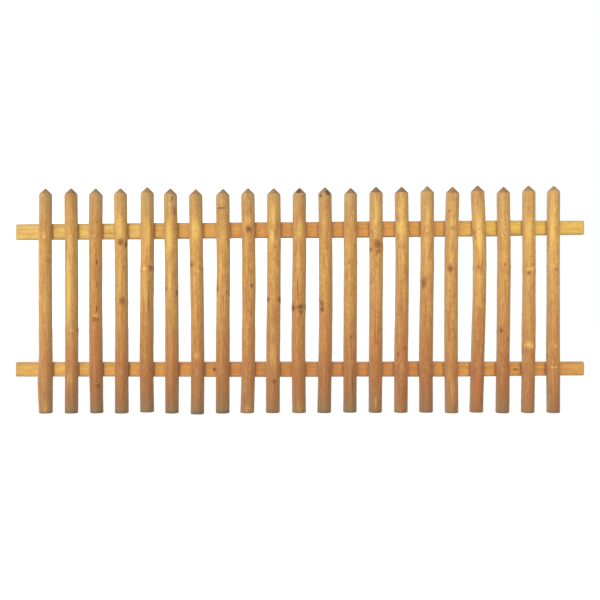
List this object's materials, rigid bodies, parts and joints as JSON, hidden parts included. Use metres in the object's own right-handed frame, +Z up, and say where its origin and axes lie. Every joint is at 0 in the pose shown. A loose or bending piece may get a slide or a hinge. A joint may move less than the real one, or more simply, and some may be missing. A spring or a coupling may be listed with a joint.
{
  "type": "vertical slat fence panel",
  "caption": "Fence panel of pointed round wooden pickets nailed side by side on two horizontal rails, for fastening between two posts.",
  "frame": {"origin": "on the back flat of the bottom rail, in the middle of the seat for the left post, 50 mm in from the rail's end", "axes": "+X along the panel to the right as seen from the front, +Y to the back, where the posts stand, +Z up"},
  "size_m": [2.5, 0.0867, 1],
  "materials": {
    "rail_wood": "matt planed softwood, honey brown with grain",
    "picket_wood": "matt peeled softwood, honey brown with knots"
  },
  "bodies": {
    "root": {"bottom_rail": "rail_wood", "top_rail": "rail_wood", "picket_01": "picket_wood", "picket_02": "picket_wood", "picket_03": "picket_wood", "picket_04": "picket_wood", "picket_05": "picket_wood", "picket_06": "picket_wood", "picket_07": "picket_wood", "picket_08": "picket_wood", "picket_09": "picket_wood", "picket_10": "picket_wood", "picket_11": "picket_wood", "picket_12": "picket_wood", "picket_13": "picket_wood", "picket_14": "picket_wood", "picket_15": "picket_wood", "picket_16": "picket_wood", "picket_17": "picket_wood", "picket_18": "picket_wood", "picket_19": "picket_wood", "picket_20": "picket_wood", "picket_21": "picket_wood"}
  },
  "joints": []
}
